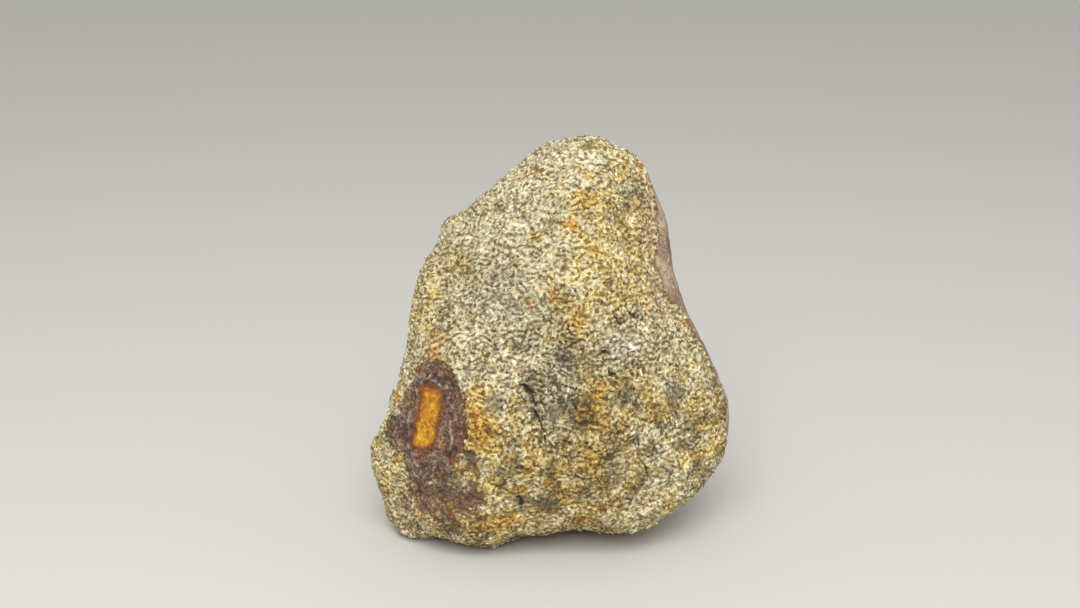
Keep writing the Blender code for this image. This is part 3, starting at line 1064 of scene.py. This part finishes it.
@dataclass
class StoneDress:
    """The stone's materials: rock, with the eye or the crust over it where they reach."""

    rock: RockFinish = field(default_factory=RockFinish)
    eye: EyeFinish = field(default_factory=EyeFinish)
    crust: CrustFinish = field(default_factory=CrustFinish)
    eye_reach: float = 1.1
    crust_reach: float = 1.15
    materials: dict[Zone, bpy.types.Material] = field(init=False)

    def __post_init__(self) -> None:
        """Wires the material of every zone."""
        self.materials = {zone: self.material(zone) for zone in Zone}

    def material(self, zone: Zone) -> bpy.types.Material:
        """Wires a material.

        Args:
            zone: The zone that it coats.

        Returns:
            The material.
        """
        net = Net(bpy.data.materials.new(zone.value))
        place = net.place()
        if zone is Zone.CRUST:
            return net.finished(self.crust.coat(net, place))
        coat = self.rock.coat(net, place)
        if zone is Zone.EYE:
            torn = 2.2 * net.noise(place, 1.6, 4.0, 0.7) + net.noise(place, 0.45) - 1.55
            share = net.climb(net.mark("eye") + torn, -0.15, 0.25)
            coat = coat.over(net, share, self.eye.coat(net, place))
        if zone is Zone.RIM:
            torn = 1.2 * net.noise(place, 0.5, 4.0) + 1.4 * net.noise(place, 1.7, 3.0, 0.6) - 1.3
            share = net.climb(net.mark("crust") + torn, -0.05, 0.10)
            coat = coat.over(net, share, self.crust.coat(net, place))
        return net.finished(coat)

    def zones(self, fields: Fields, triangles: np.ndarray) -> np.ndarray:
        """The number of the zone that each triangle is in.

        Args:
            fields: The fields at the mesh's vertices.
            triangles: Rows of three vertex numbers.

        Returns:
            One zone number a triangle.
        """
        crust = fields["crust"][triangles]
        rules = {
            Zone.EYE: fields["eye"][triangles].max(axis=1) > -self.eye_reach,
            Zone.CRUST: crust.min(axis=1) > self.crust_reach,
            Zone.RIM: crust.max(axis=1) > -self.crust_reach,
        }
        numbers = {zone: number for number, zone in enumerate(Zone)}
        found = [numbers[zone] for zone in rules]
        return np.select(list(rules.values()), found, numbers[Zone.ROCK]).astype(np.int32)

    def put_on(self, mesh: bpy.types.Mesh, fields: Fields, triangles: np.ndarray) -> None:
        """Gives a mesh its fields, its materials and the zone of each triangle.

        Args:
            mesh: The mesh to dress.
            fields: The fields at its vertices.
            triangles: Its triangles.
        """
        for name, values in fields.items():
            layer = mesh.attributes.new(name, "FLOAT", "POINT")
            layer.data.foreach_set("value", values.astype(np.float32))
        for zone in Zone:
            mesh.materials.append(self.materials[zone])
        mesh.polygons.foreach_set("material_index", self.zones(fields, triangles))


@dataclass
class StoneSkin:
    """The whole surface of the stone, fine enough for its small relief."""

    stone_map: StoneMap
    name: str = "meteorite"
    rock_edge: float = 0.21
    eye_edge: float = 0.13
    crust_edge: float = 0.40
    back_edge: float = 0.30
    base_edge: float = 1.0
    slack: float = 1.38
    doubled: float = 1e-7
    rounds: int = 4
    clump_height: float = 0.18
    lath_height: float = 0.11
    lump_height: float = 0.18
    places: np.ndarray = field(init=False)
    normals: np.ndarray = field(init=False)
    triangles: np.ndarray = field(init=False)
    fields: Fields = field(init=False)

    def smoothed(self) -> tuple[np.ndarray, np.ndarray]:
        """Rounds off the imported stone's facets.

        Returns:
            The places and the triangles of the rounded stone.
        """
        work = bmesh.new()
        work.from_mesh(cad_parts["stone"].data)
        bmesh.ops.remove_doubles(work, verts=work.verts, dist=self.doubled)
        mesh = bpy.data.meshes.new("blank")
        work.to_mesh(mesh)
        work.clear()
        blank = link("blank", mesh)
        rounding = blank.modifiers.new("rounding", "SUBSURF")
        rounding.levels = rounding.render_levels = 1
        work.from_object(blank, bpy.context.evaluated_depsgraph_get())
        bpy.data.objects.remove(blank)
        bmesh.ops.triangulate(work, faces=work.faces)
        work.to_mesh(mesh)
        work.free()
        places, _, triangles = mesh_arrays(mesh)
        bpy.data.meshes.remove(mesh)
        return places, triangles

    def goals(self, places: np.ndarray) -> np.ndarray:
        """The edge length wanted at places.

        Args:
            places: Rows of the stone's frame.

        Returns:
            One length a row.
        """
        face = self.stone_map.axes.from_world(places)
        crust = self.stone_map.crust.inside(face)
        eye = ring_depth(face[:, :2], self.stone_map.eye.band)
        rock = np.where(face[:, 2] > -1.0, self.rock_edge, self.back_edge)
        goal = np.where(crust > 0.6, self.crust_edge, rock)
        goal = np.where((places[:, 2] < 0.01) & (goal < self.crust_edge), self.base_edge, goal)
        return np.where((eye > -0.3) & (face[:, 2] > 0), self.eye_edge, goal)

    def refined(self) -> tuple[np.ndarray, np.ndarray]:
        """Halves edges, round by round, until each is near the length wanted there.

        Returns:
            The places and the triangles of the fine mesh.
        """
        places, triangles = self.smoothed()
        for _ in range(self.rounds):
            edges, sides = edges_of(triangles)
            goal = self.goals(places)[edges].mean(axis=1)
            length = np.linalg.norm(places[edges[:, 0]] - places[edges[:, 1]], axis=1)
            long = length > self.slack * goal
            middles = np.where(long, len(places) + np.cumsum(long) - 1, -1)
            places = np.vstack((places, places[edges[long]].mean(axis=1)))
            triangles = halved(places, triangles, middles[sides])
        edges, _ = edges_of(triangles)
        around = np.zeros_like(places)
        np.add.at(around, edges.ravel(), places[edges[:, ::-1].ravel()])
        around /= np.bincount(edges.ravel())[:, None]
        return (places + around) / 2, triangles

    def relief(self, places: np.ndarray, fields: Fields) -> np.ndarray:
        """How far the small relief moves the surface out.

        Args:
            places: Rows of the stone's frame.
            fields: The fields at those places.

        Returns:
            One height in millimetres a row.
        """
        crust = smooth_step(-0.10, 0.25, fields["crust"])
        eye = smooth_step(-0.10, 0.25, fields["eye"])
        core = smooth_step(-0.10, 0.20, fields["eye_core"])
        line = 1 - smooth_step(0.05, 0.30, np.abs(fields["eye_line"]))
        front = smooth_step(-4.0, 0.0, self.stone_map.axes.from_world(places)[:, 2])
        clumps = self.clump_height * (0.55 - np.minimum(grain_middle(places, 1.05, 4.0), 1.0))
        laths = [1 - np.abs(soft_noise(places, *at)) / 0.3 for at in ((1.1, 9.0), (0.9, 15.0))]
        clumps += self.lath_height * np.maximum(np.maximum(*laths), -0.5)
        lumps = self.lump_height * soft_noise(places, 1.6, 13.0)
        height = (1 - crust) * (1 - eye) * (clumps * (0.25 + 0.75 * front) + lumps)
        waves = 0.06 * soft_noise(places, 0.8, 21.0) + 0.10 * soft_noise(places, 2.1, 27.0)
        hollows = 0.16 * smooth_step(0.28, 0.6, soft_noise(places, 1.5, 29.0))
        height += crust * (waves - hollows)
        ripple = 0.10 * soft_noise(places, 0.55, 33.0) + 0.14 * soft_noise(places, 1.2, 37.0)
        height += eye * (ripple + 0.12 * core + 0.06 * line)
        height -= (1 - crust) * fields["crack"]
        return height * smooth_step(0.05, 0.7, places[:, 2])

    def build(self, dress: StoneDress) -> bpy.types.Object:
        """Makes the stone's surface.

        Args:
            dress: How the stone is dressed.

        Returns:
            The piece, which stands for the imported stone.
        """
        fine = triangle_mesh("fine", *self.refined())
        places, self.normals, self.triangles = mesh_arrays(fine)
        bpy.data.meshes.remove(fine)
        self.fields = self.stone_map.fields(places)
        self.places = places + self.normals * self.relief(places, self.fields)[:, None]
        self.places[:, 2] = np.maximum(self.places[:, 2], 0.0)
        mesh = triangle_mesh(self.name, self.places, self.triangles)
        mesh.shade_smooth()
        dress.put_on(mesh, self.fields, self.triangles)
        return link(self.name, mesh)


@dataclass
class GrainCoat:
    """Grains of one mineral that stand proud of the broken faces."""

    mineral: Mineral
    spacing: float
    half_width: tuple[float, float]
    long_by: tuple[float, float]
    high_by: tuple[float, float]
    tone: tuple[float, float]
    sink: float
    most: int
    seed: int
    sides: int = 5
    tries_for_each: float = 3.2
    tilt: float = 0.24
    uneven: float = 0.17
    lie: float = 0.6
    off_floor: float = 0.12
    rings: tuple[tuple[float, float], ...] = ((0.85, -0.6), (0.78, 0.42))
    tip: float = 0.95

    def template(self) -> tuple[np.ndarray, np.ndarray]:
        """One grain of unit size.

        Returns:
            Its points and its triangles.
        """
        count = self.sides
        points = []
        for number, (reach, height) in enumerate(self.rings):
            turn = np.arange(count) * 2 * math.pi / count + number * math.pi / count
            ring = (reach * np.cos(turn), reach * np.sin(turn), np.full(count, height))
            points.append(np.column_stack(ring))
        points.append([(0.0, 0.0, self.tip)])
        pairs = [(a, (a + 1) % count) for a in range(count)]
        walls = [(a, b, a + count) for a, b in pairs]
        walls += [(b, b + count, a + count) for a, b in pairs]
        top = [(a + count, b + count, 2 * count) for a, b in pairs]
        floor = [(0, i + 1, i) for i in range(1, count - 1)]
        return np.vstack(points), np.array(walls + top + floor)

    def scatter(self, skin: StoneSkin, picks: np.random.Generator) -> tuple[np.ndarray, ...]:
        """Picks spots over the broken faces, no two nearer than the spacing.

        Args:
            skin: The stone's surface.
            picks: The source of chance.

        Returns:
            The triangle of each spot and its shares of the three corners.
        """
        corners = skin.places[skin.triangles]
        cross = np.cross(corners[:, 1] - corners[:, 0], corners[:, 2] - corners[:, 0])
        bare = smooth_step(0.0, -0.15, skin.fields["crust"])
        bare *= smooth_step(0.0, -0.1, skin.fields["eye"])
        bare *= smooth_step(0.10, 0.30, skin.fields["margin"])
        bare *= skin.places[:, 2] > self.off_floor
        weight = np.linalg.norm(cross, axis=1) * bare[skin.triangles].mean(axis=1)
        tries = int(self.tries_for_each * self.most)
        chosen = picks.choice(len(weight), size=tries, p=weight / weight.sum())
        split = np.sort(picks.random((tries, 2)), axis=1)
        shares = np.column_stack((split[:, 0], split[:, 1] - split[:, 0], 1 - split[:, 1]))
        kept = self.thinned(np.einsum("ij,ijk->ik", shares, corners[chosen]))
        return chosen[kept], shares[kept]

    def thinned(self, spots: np.ndarray) -> list[int]:
        """Picks the spots that keep the spacing.

        Args:
            spots: Rows of millimetres.

        Returns:
            Their row numbers, in order.
        """
        boxes: dict[tuple[int, ...], list[int]] = {}
        steps = list(product((-1, 0, 1), repeat=3))
        keys = np.floor(spots / self.spacing).astype(int).tolist()
        rows = spots.tolist()
        kept: list[int] = []
        for number, (key, row) in enumerate(zip(keys, rows)):
            around = (tuple(map(sum, zip(key, step))) for step in steps)
            near = (rows[other] for box in around for other in boxes.get(box, ()))
            gaps = (sum((a - b) ** 2 for a, b in zip(row, other)) for other in near)
            if all(gap >= self.spacing**2 for gap in gaps):
                boxes.setdefault(tuple(key), []).append(number)
                kept.append(number)
                if len(kept) == self.most:
                    break
        return kept

    def axes_of(
        self, skin: StoneSkin, normals: np.ndarray, fine: np.ndarray, picks: np.random.Generator
    ) -> np.ndarray:
        """The three axes of each grain: its length, its width and its top.

        Args:
            skin: The stone's surface.
            normals: The surface normal under each grain.
            fine: How far each grain is in the finer rock, where grains lie along a grain.
            picks: The source of chance.

        Returns:
            One 3 by 3 matrix a grain, with the axes as rows.
        """
        top = normals + self.tilt * picks.normal(size=normals.shape)
        top /= np.linalg.norm(top, axis=1, keepdims=True)
        heading = skin.stone_map.axes.direction(math.cos(self.lie), math.sin(self.lie))
        spread = picks.normal(size=normals.shape) * (1.15 - fine)[:, None]
        aim = spread + 2.2 * fine[:, None] * heading
        along = aim - (aim * top).sum(axis=1, keepdims=True) * top
        along /= np.linalg.norm(along, axis=1, keepdims=True)
        return np.stack((along, np.cross(top, along), top), axis=1)

    def build(self, skin: StoneSkin, dress: StoneDress) -> bpy.types.Object:
        """Makes the grains.

        Args:
            skin: The stone's surface.
            dress: How the stone is dressed.

        Returns:
            The piece that holds all the grains.
        """
        picks = np.random.default_rng(self.seed)
        chosen, shares = self.scatter(skin, picks)
        under = skin.triangles[chosen]
        spots = np.einsum("ij,ijk->ik", shares, skin.places[under])
        normals = np.einsum("ij,ijk->ik", shares, skin.normals[under])
        fields = {
            name: np.einsum("ij,ij->i", shares, values[under])
            for name, values in skin.fields.items()
        }
        count, fine = len(spots), fields["fine"]
        axes = self.axes_of(skin, normals, np.clip(fine, 0, 1), picks)
        width = picks.uniform(*self.half_width, size=count) * (1 - 0.22 * fine)
        length = width * picks.uniform(*self.long_by, size=count) * (1 + 0.25 * fine)
        seen = smooth_step(-4.0, 0.0, skin.stone_map.axes.from_world(spots)[:, 2])
        height = width * picks.uniform(*self.high_by, size=count) * (0.55 + 0.45 * seen)
        points, triangles = self.template()
        shape = points[None] + self.uneven * picks.normal(size=(count, *points.shape))
        shape = shape * np.stack((length, width, height), axis=1)[:, None, :]
        shape[:, :, 2] -= (self.sink * width)[:, None]
        places = spots[:, None, :] + np.einsum("nij,njk->nik", shape, axes)
        places[:, :, 2] = np.maximum(places[:, :, 2], 0.0)
        offsets = np.arange(count)[:, None, None] * len(points)
        corners = (triangles[None] + offsets).reshape(-1, 3)
        mesh = triangle_mesh(self.mineral.value, places.reshape(-1, 3), corners)
        bold = 0.8 + 0.5 * fields["contrast"]
        fields["tone"] = bold * picks.uniform(*self.tone, size=count)
        fields = {name: np.repeat(values, len(points)) for name, values in fields.items()}
        dress.put_on(mesh, fields, corners)
        return link(self.mineral.value, mesh)


GRAIN_COATS = (
    GrainCoat(
        Mineral.LATHS, spacing=0.44, half_width=(0.13, 0.22), long_by=(1.6, 3.4),
        high_by=(0.6, 1.0), tone=(-0.06, 0.26), sink=0.08, most=6400, seed=11,
    ),
    GrainCoat(
        Mineral.FELDSPAR, spacing=0.56, half_width=(0.18, 0.34), long_by=(1.2, 2.2),
        high_by=(0.45, 0.8), tone=(-0.08, 0.18), sink=0.10, most=5000, seed=17,
    ),
    GrainCoat(
        Mineral.PYROXENE, spacing=0.95, half_width=(0.08, 0.15), long_by=(1.8, 3.6),
        high_by=(0.4, 0.7), tone=(-0.26, -0.04), sink=0.05, most=1500, seed=23,
    ),
)


@dataclass
class Studio:
    """A pale floor, soft light and the camera. Lengths are in metres."""

    floor_half: float = 1.5
    floor_drop: float = 0.02 * MM
    floor_tone: Colour = (0.60, 0.595, 0.565)
    key_power: float = 1.15
    key_size: float = 0.26
    key_place: tuple[float, float, float] = (-0.02, -0.24, 0.27)
    key_aim: tuple[float, float, float] = (0.0, 0.0, 0.018)
    sky_tone: Colour = (1.0, 0.99, 0.97)
    sky_power: float = 0.66
    camera_place: tuple[float, float, float] = (-0.0012, -0.1420, 0.0700)
    camera_tilt: float = math.radians(72.5)
    lens: float = 45.0

    def build(self) -> None:
        """Makes the floor, the light and the camera."""
        self.lay_floor()
        self.light()
        self.aim_camera()
        bpy.context.scene.view_settings.view_transform = "Standard"

    def lay_floor(self) -> None:
        """A plain pale floor just under the stone."""
        half = self.floor_half
        mesh = bpy.data.meshes.new("floor")
        corners = [(-half, -half, 0), (half, -half, 0), (half, half, 0), (-half, half, 0)]
        mesh.from_pydata(corners, [], [(0, 1, 2, 3)])
        material = bpy.data.materials.new("pale_floor")
        material.use_nodes = True
        surface = material.node_tree.nodes["Principled BSDF"]
        surface.inputs["Base Color"].default_value = (*self.floor_tone, 1)
        surface.inputs["Roughness"].default_value = 0.95
        surface.inputs["Specular IOR Level"].default_value = 0.2
        mesh.materials.append(material)
        floor = link("floor", mesh)
        floor.location.z = -self.floor_drop

    def light(self) -> None:
        """A broad soft lamp over the stone and an even pale sky."""
        lamp = bpy.data.lights.new("key", "AREA")
        lamp.energy = self.key_power
        lamp.size = self.key_size
        key = link("key", lamp)
        key.location = self.key_place
        aim = Vector(self.key_aim) - key.location
        key.rotation_euler = aim.to_track_quat("-Z", "Y").to_euler()
        world = bpy.data.worlds.new("sky")
        world.use_nodes = True
        sky = world.node_tree.nodes["Background"]
        sky.inputs["Color"].default_value = (*self.sky_tone, 1)
        sky.inputs["Strength"].default_value = self.sky_power
        bpy.context.scene.world = world

    def aim_camera(self) -> None:
        """The camera, level from side to side and tipped down at the broad face."""
        lens = bpy.data.cameras.new("camera")
        lens.lens = self.lens
        lens.sensor_width = 36.0
        lens.clip_start = 0.01
        camera = link("camera", lens)
        camera.location = self.camera_place
        camera.rotation_euler = (self.camera_tilt, 0, 0)
        bpy.context.scene.camera = camera


def report(piece: bpy.types.Object) -> None:
    """Says how many faces a piece has."""
    LOG.info("%s: %d faces", piece.name, len(piece.data.polygons))


def main() -> None:
    """Builds the stone's looks and its studio."""
    logging.basicConfig(level=logging.INFO, format="%(name)s: %(message)s")
    Studio().build()
    skin = StoneSkin(StoneMap())
    dress = StoneDress()
    body = skin.build(dress)
    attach(body, "root")
    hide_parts("stone")
    report(body)
    for coat in GRAIN_COATS:
        grains = coat.build(skin, dress)
        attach(grains, "root")
        report(grains)


if __name__ == "__main__":
    main()
